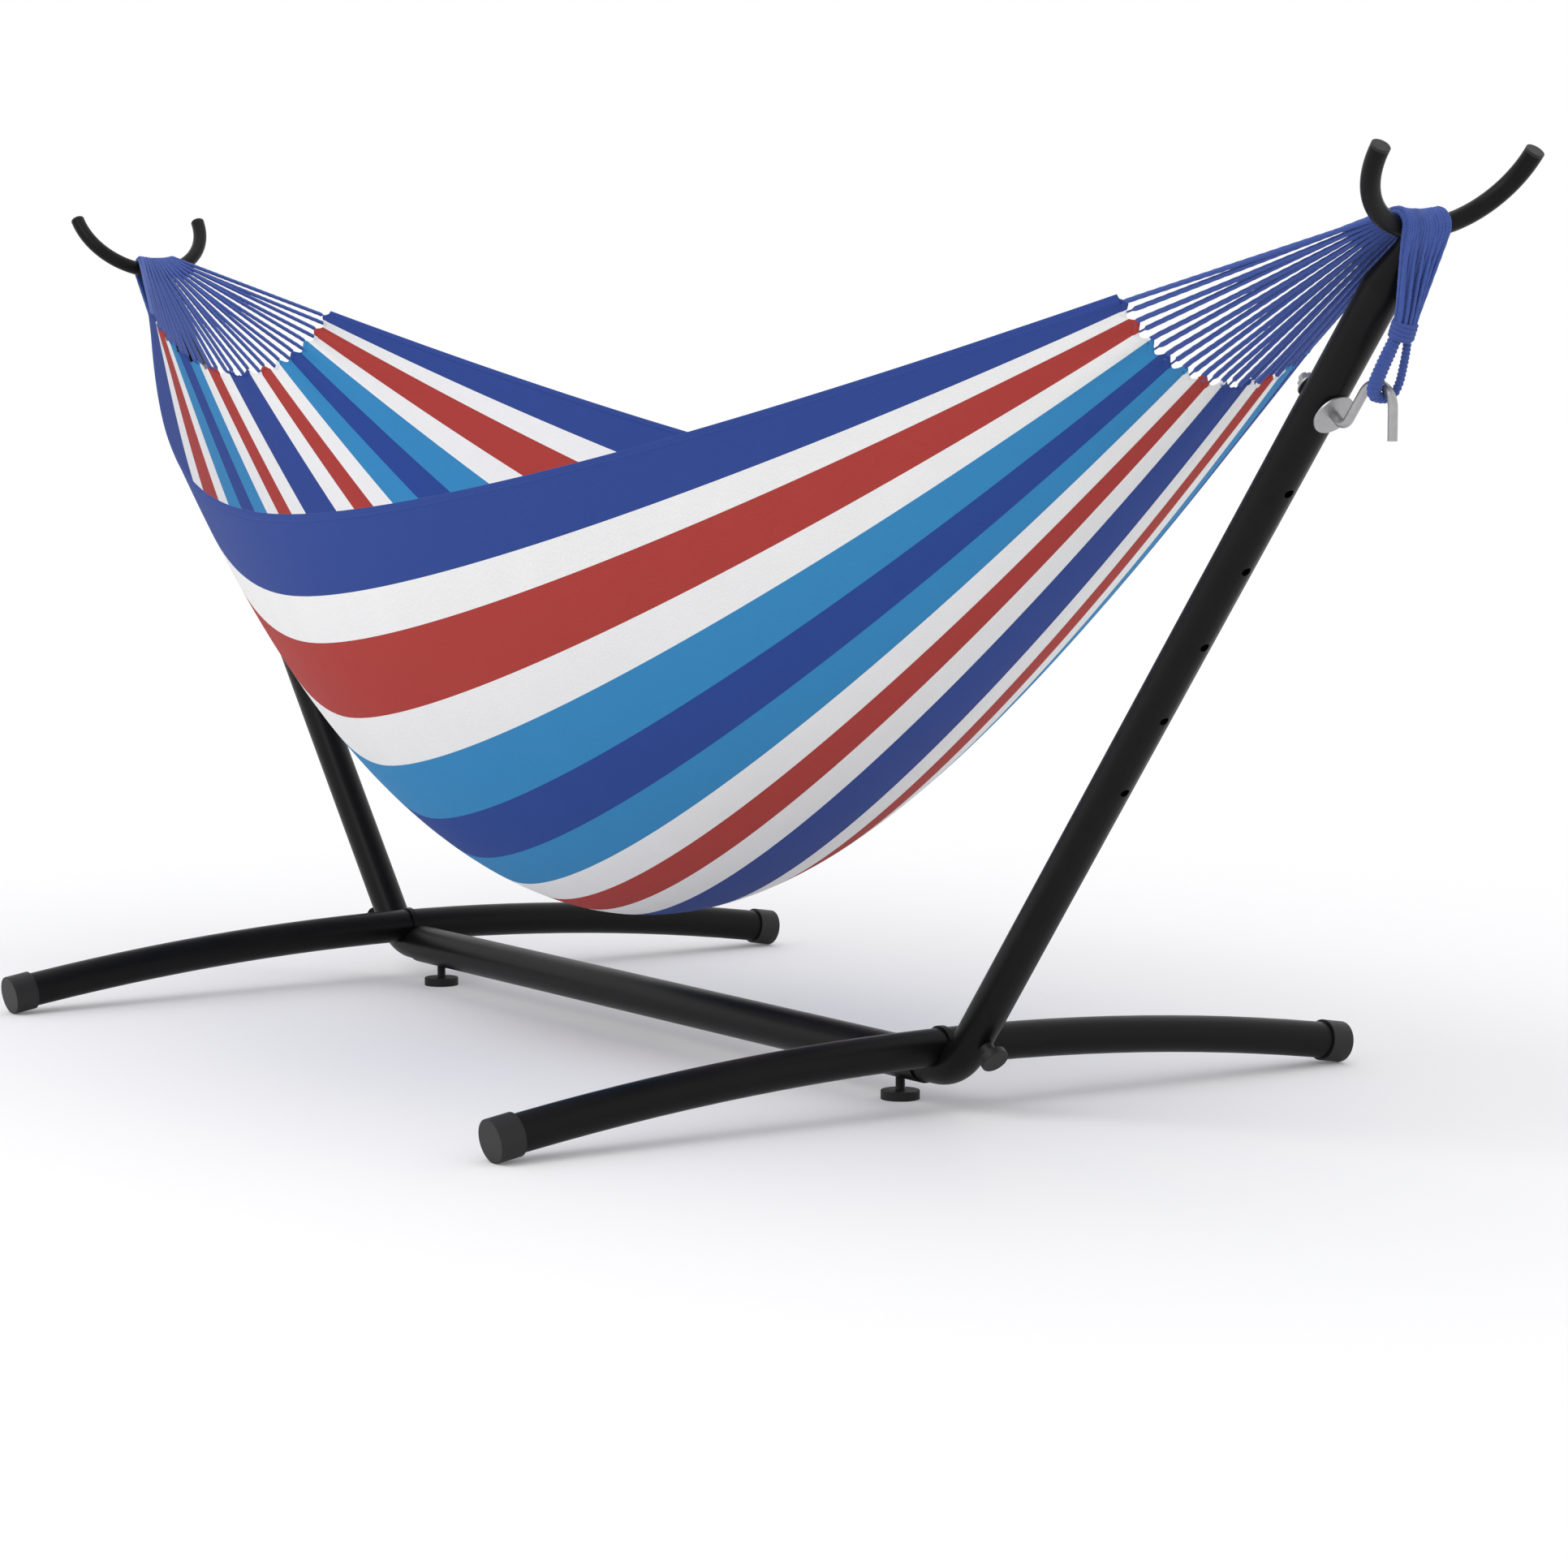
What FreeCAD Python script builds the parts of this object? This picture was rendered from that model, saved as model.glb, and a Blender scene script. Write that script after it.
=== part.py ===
"""Hammock on a take-down steel stand: beam, arched feet, sloped posts, cradles and a striped bed.

Frame: +Z up, +X along the beam, origin on the floor under the middle of the beam. Millimetres.
The object is symmetric about the YZ plane, so the pieces at the left are mirrors of those at the right.
"""
import FreeCAD, Part
import math
import os

from FreeCAD import Placement, Rotation, Vector

doc = FreeCAD.newDocument("HammockOnStand")

# ---------------------------------------------------------------- driving dimensions
SIZES = {
    "beamRadius": 25.0, "beamWall": 2.0, "beamHeight": 50.5, "beamHalf": 595.0, "tubeWall": 1.6,
    "footRadius": 22.0, "footOffset": 629.0, "footHalfSpan": 600.0, "footCrown": 73.0,
    "footInsert": 60.0, "beadRadius": 24.5, "beadLength": 7.0,
    "capRadius": 25.0, "capLength": 31.0, "capWall": 3.0, "capRound": 2.0,
    "postRadius": 22.5, "postSlope": 51.26, "kneeOffset": 655.0, "kneeBend": 75.0,
    "tailDepth": 120.0, "seamAlong": 40.0, "spigotLength": 90.0, "fitGap": 0.3,
    "neckStart": 1130.0, "neckEnd": 1174.0, "neckRadius": 11.0, "cradleAlong": 1199.0,
    "holeRadius": 5.3, "holeFirst": 457.0, "holePitch": 105.4, "holeCount": 6,
    "rodRadius": 10.0, "cradleBend": 100.0, "cradleAngle": 87.0, "plugLength": 3.0,
    "padRadius": 23.0, "padHeight": 10.5, "padOffset": 543.0,
    "stemRadius": 6.0, "stemTop": 52.0, "stemNutFlats": 18.0, "holeClear": 0.5,
    "knobAlong": 60.0, "knobHeadRadius": 16.5, "knobHeadStart": 37.0, "knobHeadLength": 8.5,
    "knobHubRadius": 8.5, "studRadius": 4.0, "studInner": -5.0, "studNutFlats": 13.0, "studNutRecess": 1.5,
    "hookRadius": 5.0, "hookStandoff": 44.0, "hookCorner": 11.0, "hookRise": 45.0,
    "hookArch": 24.5, "hookDrop": 32.0, "hookInner": -38.0,
    "washerRadius": 23.0, "washerThick": 2.0, "innerWasherRadius": 14.0,
    "nutHeight": 8.0, "hookNutFlats": 17.0, "threadFit": 0.05,
    "bedEnd": 1164.0, "bedEndSag": 181.0, "bedEndAngle": 61.1,
    "bedMidSag": 858.0, "bedEdgeRise": 213.0, "bedMidAngle": 58.6, "bedMidLinear": 0.39,
    "bedThick": 4.0, "axisHeight": 1010.0, "axisEnd": 1405.0, "hangHeight": 1000.0, "hangOffset": 1397.0,
    "cordRadius": 2.1, "cordPairs": 14, "cordStackHalf": 31.0, "cordGap": 44.0,
    "eyeHalfWidth": 15.0, "eyeCordRadius": 5.5,
    "whippingAlong": 1122.0, "whippingOutward": 47.0, "whippingRadius": 14.5, "whippingLength": 19.0,
    "bundleThick": 9.0, "bundleLeave": 126.0, "bundleArrive": -12.0, "touchGap": 0.2,
}

sheet = doc.addObject("Spreadsheet::Sheet", "Sizes")
for row, (alias, value) in enumerate(SIZES.items(), start=1):
    sheet.set(f"A{row}", alias)
    sheet.set(f"B{row}", str(value))
    sheet.setAlias(f"B{row}", alias)
doc.recompute()


def size(alias):
    """A driving dimension, read back from the sheet."""
    return float(getattr(sheet, alias))


# ---------------------------------------------------------------- directions and places
SLOPE = math.radians(size("postSlope"))
ALONG = Vector(math.cos(SLOPE), 0, math.sin(SLOPE))      # up the right post
OUTWARD = Vector(math.sin(SLOPE), 0, -math.cos(SLOPE))   # square to it, away from the hammock
ACROSS = Vector(0, 1, 0)
KNEE = Vector(size("kneeOffset"), 0, size("beamHeight"))
KNEE_TANGENT = size("kneeBend") * math.tan(SLOPE / 2)
FOOT_ROUND = size("capRound")


def on_post(along, outward=0.0):
    """A point of the right post's axis plane."""
    return KNEE + ALONG * along + OUTWARD * outward


def turned(x_dir, z_dir):
    """The rotation that takes the X and Z axes to two given square directions."""
    return Rotation(x_dir, z_dir.cross(x_dir), z_dir, "ZXY")


# The foot tube's centreline is a circle through its crown and its two cap faces.
CAP_TILT = math.atan2(size("footCrown") - size("capRadius"), size("footHalfSpan")) * 2
CAP_HEIGHT = (
    (size("capRadius") - FOOT_ROUND) * math.cos(CAP_TILT) + FOOT_ROUND - FOOT_ROUND * math.sin(CAP_TILT)
)
FOOT_RISE = size("footCrown") - CAP_HEIGHT
FOOT_ARC = (size("footHalfSpan") ** 2 + FOOT_RISE**2) / (2 * FOOT_RISE)
FOOT_ANGLE = math.degrees(math.asin(size("footHalfSpan") / FOOT_ARC))
FOOT_CENTRE = Vector(size("footOffset"), 0, size("footCrown") - FOOT_ARC)


def cradle_direction(angle):
    """From the cradle's centre to its rod, angle degrees round from its lowest point."""
    turn = math.radians(angle)
    return ALONG * -math.cos(turn) + ACROSS * math.sin(turn)


CRADLE_CENTRE = on_post(size("cradleAlong") + size("cradleBend"))
SADDLE_ANGLE = 45.0      # the post's top is cut to the rod over this much to each side


# ---------------------------------------------------------------- small builders
def cylinder(name, radius, height, base, direction):
    """A cylinder whose radius and height are expressions of the sheet."""
    part = doc.addObject("Part::Cylinder", name)
    part.setExpression("Radius", radius)
    part.setExpression("Height", height)
    part.Placement = Placement(base, Rotation(Vector(0, 0, 1), direction))
    return part


def torus(name, ring, tube, sweep, centre, start, axis):
    """A ring sector: its section starts in the direction start and turns about axis."""
    part = doc.addObject("Part::Torus", name)
    part.setExpression("Radius1", ring)
    part.setExpression("Radius2", tube)
    part.Angle3 = sweep
    part.Placement = Placement(centre, turned(start, axis))
    return part


def fuse(name, *parts):
    joined = doc.addObject("Part::MultiFuse", name)
    joined.Shapes = list(parts)
    joined.Refine = True
    return joined


def cut(name, base, tool):
    result = doc.addObject("Part::Cut", name)
    result.Base = base
    result.Tool = tool
    return result


def feature(name, shape):
    """A piece that is shaped with Part's own functions from sizes in the sheet."""
    part = doc.addObject("Part::Feature", name)
    part.Shape = shape
    return part


def hexagon(name, across_flats, height, bore, base, direction):
    """A nut: a hexagonal prism with a bore."""
    prism = doc.addObject("Part::Prism", name + "_prism")
    prism.Polygon = 6
    prism.Circumradius = across_flats / math.sqrt(3)
    prism.setExpression("Height", height)
    prism.Placement = Placement(base, Rotation(Vector(0, 0, 1), direction))
    hole = cylinder(name + "_bore", bore, height, base, direction)
    return cut(name, prism, hole)


def grouped(name, *parts):
    group = doc.addObject("Part::Compound", name)
    group.Links = list(parts)
    return group


nodes = {}


def node(name, part):
    """Gives a finished piece its name and keeps it for the export."""
    part.Label = name
    nodes[name] = part
    return part


def both_ends(name, part):
    """Names the right-hand piece and makes its mirror at the left."""
    node(name + "_right", part)
    mirrored = doc.addObject("Part::Mirroring", name + "_left_mirror")
    mirrored.Source = part
    mirrored.Normal = Vector(1, 0, 0)
    node(name + "_left", mirrored)


# ---------------------------------------------------------------- base beam
def base_beam():
    start = Vector(-size("beamHalf"), 0, size("beamHeight"))
    outer = cylinder("beam_outer", "Sizes.beamRadius", "2 * Sizes.beamHalf", start, Vector(1, 0, 0))
    inner = cylinder(
        "beam_inner", "Sizes.beamRadius - Sizes.beamWall", "2 * Sizes.beamHalf", start, Vector(1, 0, 0)
    )
    tube = cut("beam_tube", outer, inner)
    holes = [
        cylinder(
            f"beam_foot_hole_{side}", "Sizes.stemRadius + Sizes.holeClear", "Sizes.beamHeight",
            Vector(side * size("padOffset"), 0, 0), Vector(0, 0, 1),
        )
        for side in (-1, 1)
    ]
    return cut("beam_drilled", tube, fuse("beam_holes", *holes))


# ---------------------------------------------------------------- elbow and post
def elbow_run(name, radius, end_along):
    """The solid run of the elbow: tail, bend and the start of the slope, of one radius."""
    tail_end = size("beamHalf") - size("tailDepth")
    bend_start = KNEE - Vector(KNEE_TANGENT, 0, 0)
    tail = cylinder(
        name + "_tail", radius, str(bend_start.x - tail_end),
        Vector(tail_end, 0, size("beamHeight")), Vector(1, 0, 0),
    )
    bend = torus(
        name + "_bend", "Sizes.kneeBend", radius, size("postSlope"),
        bend_start + Vector(0, 0, size("kneeBend")), Vector(0, 0, -1), Vector(0, -1, 0),
    )
    slope = cylinder(name + "_slope", radius, str(end_along - KNEE_TANGENT), on_post(KNEE_TANGENT), ALONG)
    return fuse(name, tail, bend, slope)


def stem_hole(name):
    base = Vector(size("padOffset"), 0, 0)
    return cylinder(
        name, "Sizes.stemRadius + Sizes.holeClear", "Sizes.beamHeight", base, Vector(0, 0, 1)
    )


def stud_hole(name):
    return cylinder(
        name, "Sizes.studRadius + Sizes.fitGap", "1.5 * Sizes.postRadius", on_post(size("knobAlong")), OUTWARD
    )


def elbow():
    body = elbow_run("elbow_outer", "Sizes.postRadius", size("seamAlong"))
    spigot = cylinder(
        "elbow_spigot", "Sizes.postRadius - Sizes.tubeWall - Sizes.fitGap", "Sizes.spigotLength",
        on_post(size("seamAlong")), ALONG,
    )
    hollow = elbow_run(
        "elbow_hollow", "Sizes.postRadius - 2 * Sizes.tubeWall - Sizes.fitGap",
        size("seamAlong") + size("spigotLength"),
    )
    holes = fuse("elbow_holes", stem_hole("elbow_stem_hole"), stud_hole("elbow_stud_hole"))
    return cut("elbow_drilled", cut("elbow_tube", fuse("elbow_solid", body, spigot), hollow), holes)


def post():
    """A straight tube over the elbow's spigot, necked at its top to carry the cradle rod."""
    low, high, end_wall = size("seamAlong"), size("neckStart"), size("tubeWall")
    outer = cylinder("post_outer", "Sizes.postRadius", str(high - low), on_post(low), ALONG)
    neck = doc.addObject("Part::Cone", "post_neck")
    neck.setExpression("Radius1", "Sizes.postRadius")
    neck.setExpression("Radius2", "Sizes.neckRadius")
    neck.setExpression("Height", "Sizes.neckEnd - Sizes.neckStart")
    neck.Placement = Placement(on_post(high), Rotation(Vector(0, 0, 1), ALONG))
    stub = cylinder(
        "post_stub", "Sizes.neckRadius", "Sizes.cradleAlong - Sizes.neckEnd",
        on_post(size("neckEnd")), ALONG,
    )
    hollow = cylinder(
        "post_hollow", "Sizes.postRadius - Sizes.tubeWall", str(high - low - end_wall), on_post(low), ALONG
    )
    saddle = torus(
        "post_saddle", "Sizes.cradleBend", "Sizes.rodRadius", 2 * SADDLE_ANGLE,
        CRADLE_CENTRE, cradle_direction(-SADDLE_ANGLE), OUTWARD,
    )
    reach = 2 * size("postRadius")
    through = [
        cylinder(
            f"post_hole_{index}", "Sizes.holeRadius", "4 * Sizes.postRadius",
            on_post(size("holeFirst") + index * size("holePitch"), -reach), OUTWARD,
        )
        for index in range(int(size("holeCount")))
    ]
    openings = fuse("post_openings", hollow, saddle, stud_hole("post_stud_hole"), *through)
    return cut("post_drilled", fuse("post_solid", outer, neck, stub), openings)


# ---------------------------------------------------------------- arched foot tubes
def foot_arc(name, radius, side, angle):
    """A solid arc of the foot from the middle of the stand to one side (+1 rear, -1 front)."""
    return torus(
        name, str(FOOT_ARC), radius, angle, FOOT_CENTRE, Vector(0, 0, 1), Vector(-side, 0, 0)
    )


def foot_tube(name, side):
    """The front half ends in a beaded mouth; the rear half has the insert that goes into it."""
    wall_angle = math.degrees(size("capWall") / FOOT_ARC)
    outer = foot_arc(name + "_outer", "Sizes.footRadius", side, FOOT_ANGLE - wall_angle)
    inner = foot_arc(name + "_inner", "Sizes.footRadius - Sizes.tubeWall", side, FOOT_ANGLE)
    tube = cut(name + "_tube", outer, inner)
    if side < 0:
        bead_base = Vector(size("footOffset"), -size("beadLength"), size("footCrown"))
        bead = cylinder(name + "_bead", "Sizes.beadRadius", "Sizes.beadLength", bead_base, ACROSS)
        hole_radius = "Sizes.footRadius - Sizes.tubeWall / 2"
        bead_hole = cylinder(
            name + "_bead_hole", hole_radius, "Sizes.beadLength", bead_base, ACROSS
        )
        tube = fuse(name + "_beaded", tube, cut(name + "_bead_ring", bead, bead_hole))
    else:
        insert_angle = math.degrees(size("footInsert") / FOOT_ARC)
        insert_radius = "Sizes.footRadius - Sizes.tubeWall - Sizes.fitGap"
        insert = foot_arc(name + "_insert", insert_radius, -1, insert_angle)
        shoulder = foot_arc(name + "_shoulder", "Sizes.footRadius - Sizes.tubeWall / 2", 1, insert_angle / 4)
        bore_front = foot_arc(name + "_bore_a", insert_radius + " - Sizes.tubeWall", -1, insert_angle)
        bore_rear = foot_arc(name + "_bore_b", insert_radius + " - Sizes.tubeWall", 1, insert_angle)
        plug = fuse(name + "_plug", insert, shoulder)
        bores = fuse(name + "_bores", bore_front, bore_rear)
        swage = cut(name + "_swage", plug, bores)
        tube = fuse(name + "_swaged", tube, swage)
    saddle = elbow_run(name + "_saddle", "Sizes.postRadius + Sizes.fitGap", 2 * size("seamAlong"))
    return cut(name + "_notched", tube, saddle)


def end_cap(name, side):
    """A moulded cap over the end of a foot tube, square to the tube's sloping end."""
    tilt = math.radians(FOOT_ANGLE)
    outward = Vector(0, side * math.cos(tilt), -math.sin(tilt))
    face = Vector(size("footOffset"), side * size("footHalfSpan"), size("footCrown") - FOOT_RISE)
    skirt = face - outward * size("capLength")
    outer = cylinder(name + "_outer", "Sizes.capRadius", "Sizes.capLength", skirt, outward)
    rounded = doc.addObject("Part::Fillet", name + "_rounded")
    rounded.Base = outer
    rounded.Edges = [(1, FOOT_ROUND, FOOT_ROUND), (3, 1.0, 1.0)]
    end_wall = math.degrees(size("capWall") / FOOT_ARC)
    cavity = foot_arc(name + "_cavity", "Sizes.footRadius + Sizes.threadFit", side, FOOT_ANGLE - end_wall)
    return cut(name + "_hollow", rounded, cavity)


# ---------------------------------------------------------------- cradle
def cradle():
    return torus(
        "cradle_rod", "Sizes.cradleBend", "Sizes.rodRadius", 2 * size("cradleAngle"),
        CRADLE_CENTRE, cradle_direction(-size("cradleAngle")), OUTWARD,
    )


def cradle_plugs():
    plugs = []
    for side in (-1, 1):
        end = cradle_direction(side * size("cradleAngle"))
        tangent = cradle_direction(side * (size("cradleAngle") + 90))
        name = f"cradle_plug_{side}"
        disc = cylinder(
            name, "Sizes.rodRadius", "Sizes.plugLength", CRADLE_CENTRE + end * size("cradleBend"), tangent
        )
        rounded = doc.addObject("Part::Fillet", name + "_rounded")
        rounded.Base = disc
        rounded.Edges = [(1, 1.0, 1.0), (3, 0.3, 0.3)]
        plugs.append(rounded)
    return grouped("cradle_plug_pair", *plugs)


# ---------------------------------------------------------------- levelling foot and knob
def levelling_pad():
    disc = cylinder(
        "pad_disc", "Sizes.padRadius", "Sizes.padHeight", Vector(size("padOffset"), 0, 0), Vector(0, 0, 1)
    )
    rounded = doc.addObject("Part::Fillet", "pad_rounded")
    rounded.Base = disc
    rounded.Edges = [(1, 1.0, 1.0), (3, 1.0, 1.0)]
    return rounded


def levelling_stem():
    return cylinder(
        "stem_rod", "Sizes.stemRadius", "Sizes.stemTop - Sizes.padHeight",
        Vector(size("padOffset"), 0, size("padHeight")), Vector(0, 0, 1),
    )


def levelling_nut():
    bore = size("postRadius") - 2 * size("tubeWall") - size("fitGap")
    half_width = size("stemNutFlats") / math.sqrt(3)
    seat = size("beamHeight") - math.sqrt(bore**2 - half_width**2)
    return hexagon(
        "stem_nut", size("stemNutFlats"), "Sizes.nutHeight", "Sizes.stemRadius + Sizes.threadFit",
        Vector(size("padOffset"), 0, seat), Vector(0, 0, 1),
    )


KNOB_SEAT = size("postRadius") + size("holeClear")


def knob():
    along = size("knobAlong")
    head = cylinder(
        "knob_head", "Sizes.knobHeadRadius", "Sizes.knobHeadLength",
        on_post(along, size("knobHeadStart")), OUTWARD,
    )
    rounded = doc.addObject("Part::Fillet", "knob_rounded")
    rounded.Base = head
    rounded.Edges = [(1, 1.2, 1.2), (3, 1.2, 1.2)]
    hub = cylinder(
        "knob_hub", "Sizes.knobHubRadius", str(size("knobHeadStart") - KNOB_SEAT),
        on_post(along, KNOB_SEAT), OUTWARD,
    )
    return fuse("knob_moulding", rounded, hub)


def knob_stud():
    inner = size("studInner")
    return cylinder(
        "stud_rod", "Sizes.studRadius", str(KNOB_SEAT - inner), on_post(size("knobAlong"), inner), OUTWARD
    )


def knob_nut():
    bore = size("postRadius") - 2 * size("tubeWall") - size("fitGap")
    outer_face = bore - size("studNutRecess")
    return hexagon(
        "stud_nut", size("studNutFlats"), "Sizes.nutHeight", "Sizes.studRadius + Sizes.threadFit",
        on_post(size("knobAlong"), outer_face - size("nutHeight")), OUTWARD,
    )


# ---------------------------------------------------------------- hook bolt
HOOK_ALONG = size("holeFirst") + 5 * size("holePitch")
HOOK_CORNER = on_post(HOOK_ALONG, size("hookStandoff"))
ARCH_START = HOOK_CORNER + ALONG * size("hookRise")
ARCH_CENTRE = ARCH_START + OUTWARD * size("hookArch")
ARCH_TOP = ARCH_CENTRE + Vector(0, 0, size("hookArch"))


def hook_bolt():
    """One round bar: shank, a square bend up along the post, an arch over and a short drop."""
    corner = size("hookCorner")
    shank_start = on_post(HOOK_ALONG, size("hookInner"))
    shank_end = HOOK_CORNER - OUTWARD * corner
    rise_start = HOOK_CORNER + ALONG * corner
    bend_middle = HOOK_CORNER + (ALONG - OUTWARD) * corner * (1 - math.sqrt(0.5))
    arch_end = ARCH_CENTRE + Vector(size("hookArch"), 0, 0)
    path = Part.Wire([
        Part.LineSegment(shank_start, shank_end).toShape(),
        Part.Arc(shank_end, bend_middle, rise_start).toShape(),
        Part.LineSegment(rise_start, ARCH_START).toShape(),
        Part.Arc(ARCH_START, ARCH_TOP, arch_end).toShape(),
        Part.LineSegment(arch_end, arch_end - Vector(0, 0, size("hookDrop"))).toShape(),
    ])
    section = Part.Wire(Part.makeCircle(size("hookRadius"), shank_start, OUTWARD))
    return feature("hook_bar", path.makePipeShell([section], True, False))


def washer(name, radius, start):
    disc = cylinder(name + "_disc", radius, "Sizes.washerThick", on_post(HOOK_ALONG, start), OUTWARD)
    hole = cylinder(
        name + "_hole", "Sizes.hookRadius + Sizes.threadFit", "Sizes.washerThick",
        on_post(HOOK_ALONG, start), OUTWARD,
    )
    return cut(name, disc, hole)


def hook_nut():
    return hexagon(
        "hook_lock_nut", size("hookNutFlats"), "Sizes.nutHeight", "Sizes.hookRadius + Sizes.threadFit",
        on_post(HOOK_ALONG, -size("postRadius") - size("washerThick") - size("nutHeight")), OUTWARD,
    )


# ---------------------------------------------------------------- cords at the cradle
STRAND = size("eyeCordRadius")
WHIPPING_TOP = on_post(size("whippingAlong"), size("whippingOutward"))
EYE_LOW = ARCH_CENTRE + ALONG * (size("hookArch") - size("hookRadius") - STRAND - size("touchGap"))
EYE_LEAN = WHIPPING_TOP - EYE_LOW
EYE_REACH = EYE_LEAN.Length - size("whippingLength") - STRAND - size("touchGap")
EYE_LEAN.normalize()
EYE_SIDE = ACROSS.cross(EYE_LEAN)
EYE_CENTRE = EYE_LOW + EYE_LEAN * size("eyeHalfWidth")
EYE_STRAIGHT = EYE_REACH - 2 * size("eyeHalfWidth")


def eye_loop():
    """The wrapped eye on the hook: a long ring of cord."""
    low = torus(
        "eye_low", "Sizes.eyeHalfWidth", "Sizes.eyeCordRadius", 180, EYE_CENTRE, -ACROSS, EYE_SIDE * -1
    )
    high = torus(
        "eye_high", "Sizes.eyeHalfWidth", "Sizes.eyeCordRadius", 180,
        EYE_CENTRE + EYE_LEAN * EYE_STRAIGHT, ACROSS, EYE_SIDE * -1,
    )
    sides = [
        cylinder(
            f"eye_side_{side}", "Sizes.eyeCordRadius", str(EYE_STRAIGHT),
            EYE_CENTRE + ACROSS * (side * size("eyeHalfWidth")), EYE_LEAN,
        )
        for side in (-1, 1)
    ]
    return fuse("eye_ring", low, high, *sides)


def whipping():
    """The turns of cord that bind the bundle above the eye."""
    base = WHIPPING_TOP - EYE_LEAN * size("whippingLength")
    collar = cylinder("whipping_collar", "Sizes.whippingRadius", "Sizes.whippingLength", base, EYE_LEAN)
    rounded = doc.addObject("Part::Fillet", "whipping_rounded")
    rounded.Base = collar
    rounded.Edges = [(1, 3.0, 3.0), (3, 3.0, 3.0)]
    return rounded


def rectangle(centre, half_across, side, half_side):
    """A rectangular wire about a centre, across the stand and along side."""
    corners = [
        centre + ACROSS * (across * half_across) + side * (depth * half_side)
        for across, depth in ((-1, -1), (1, -1), (1, 1), (-1, 1), (-1, -1))
    ]
    return Part.makePolygon(corners)


OVERLAP = 3.0      # the drop starts this far inside the turn over the rod, so that they join


def cord_bundle():
    """The suspension cords over the cradle rod and down to the whipping, as one closed outline."""
    inner = size("rodRadius") + size("touchGap")
    outer = inner + size("bundleThick")
    rod = on_post(size("cradleAlong"))
    leave, arrive = math.radians(size("bundleLeave")), math.radians(size("bundleArrive"))

    def round_rod(radius, angle):
        return rod + Vector(math.cos(angle), 0, math.sin(angle)) * radius

    middle = (leave + arrive) / 2
    outline = Part.Wire([
        Part.Arc(*(round_rod(inner, angle) for angle in (arrive, middle, leave))).toShape(),
        Part.LineSegment(round_rod(inner, leave), round_rod(outer, leave)).toShape(),
        Part.Arc(*(round_rod(outer, angle) for angle in (leave, middle, arrive))).toShape(),
        Part.LineSegment(round_rod(outer, arrive), round_rod(inner, arrive)).toShape(),
    ])
    half_turn = math.degrees(size("cordStackHalf") / size("cradleBend"))
    face = Part.Face(outline)
    face.rotate(CRADLE_CENTRE, OUTWARD, -half_turn)
    saddle = face.revolve(CRADLE_CENTRE, OUTWARD, 2 * half_turn)
    depth = size("bundleThick") / 2
    radial = Vector(math.cos(arrive), 0, math.sin(arrive))
    drop_start = rod + radial * (inner + depth + OVERLAP) + Vector(0, 0, OVERLAP)
    drop_end = WHIPPING_TOP + EYE_LEAN * size("touchGap")
    half_wide, half_deep = size("whippingRadius") - 2, size("whippingRadius") - 5
    sections = [
        rectangle(drop_start, size("cordStackHalf") - 2, radial, depth),
        rectangle(drop_end, half_wide, EYE_SIDE, half_deep),
    ]
    drop = Part.makeLoft(sections, True, True)
    return feature("bundle_shape", saddle.fuse(drop).removeSplitter())


# ---------------------------------------------------------------- hammock bed and suspension cords
HANG = Vector(size("hangOffset"), 0, size("hangHeight"))


def hanging(offset, sag, angle):
    """A point at a distance below the bed's axis, the level line over its middle, turned about it."""
    return Vector(offset, sag * math.sin(angle), size("axisHeight") - sag * math.cos(angle))


def end_point(across, thicker=0.0):
    """Where the thread across (-1 front edge to 1 rear edge) ends at the right."""
    angle = math.radians(size("bedEndAngle")) * across
    return hanging(size("bedEnd"), size("bedEndSag") + thicker, angle)


def thread_point(across, offset, thicker=0.0):
    """A point of a lengthwise thread: a parabola that leaves the bed aimed at the axis's end."""
    linear = size("bedMidLinear")
    angle = math.radians(size("bedMidAngle")) * (linear * across + (1 - linear) * across**3)
    sag = size("bedMidSag") - size("bedEdgeRise") * across**2
    middle = hanging(0, sag + thicker, angle)
    end = end_point(across, thicker)
    slope = (size("axisHeight") - end.z) / (size("axisEnd") - end.x)
    control = end.x - (end.z - middle.z) / slope
    lead = end.x - 2 * control
    part = (-control + math.sqrt(control**2 + lead * abs(offset))) / lead
    height = middle.z + (end.z - middle.z) * part**2
    side = middle.y + (end.y - middle.y) * part**2
    return Vector(offset, side, height)


def bed_section(offset, threads):
    """The closed section of the bed across the stand: outer curve, edge, inner curve, edge."""
    half = size("bedThick") / 2
    curves = []
    for thicker, order in ((half, threads), (-half, list(reversed(threads)))):
        spline = Part.BSplineCurve()
        spline.interpolate([thread_point(across, offset, thicker) for across in order])
        curves.append(spline.toShape())
    outer, inner = curves
    last, first = thread_point(threads[-1], offset, half), thread_point(threads[-1], offset, -half)
    start, finish = thread_point(threads[0], offset, half), thread_point(threads[0], offset, -half)
    rear = Part.LineSegment(last, first).toShape()
    front = Part.LineSegment(finish, start).toShape()
    return Part.Wire([outer, rear, inner, front])


def hammock_bed():
    threads = [index / 8 for index in range(-8, 9)]
    stations = [size("bedEnd") * math.sin(math.radians(angle)) for angle in range(-90, 91, 15)]
    sections = [bed_section(offset, threads) for offset in stations]
    return feature("bed_shell", Part.makeLoft(sections, True, False))


LEG_SPREAD = 0.4      # how far apart a pair's two legs start, as a share of the pairs' spacing


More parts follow.
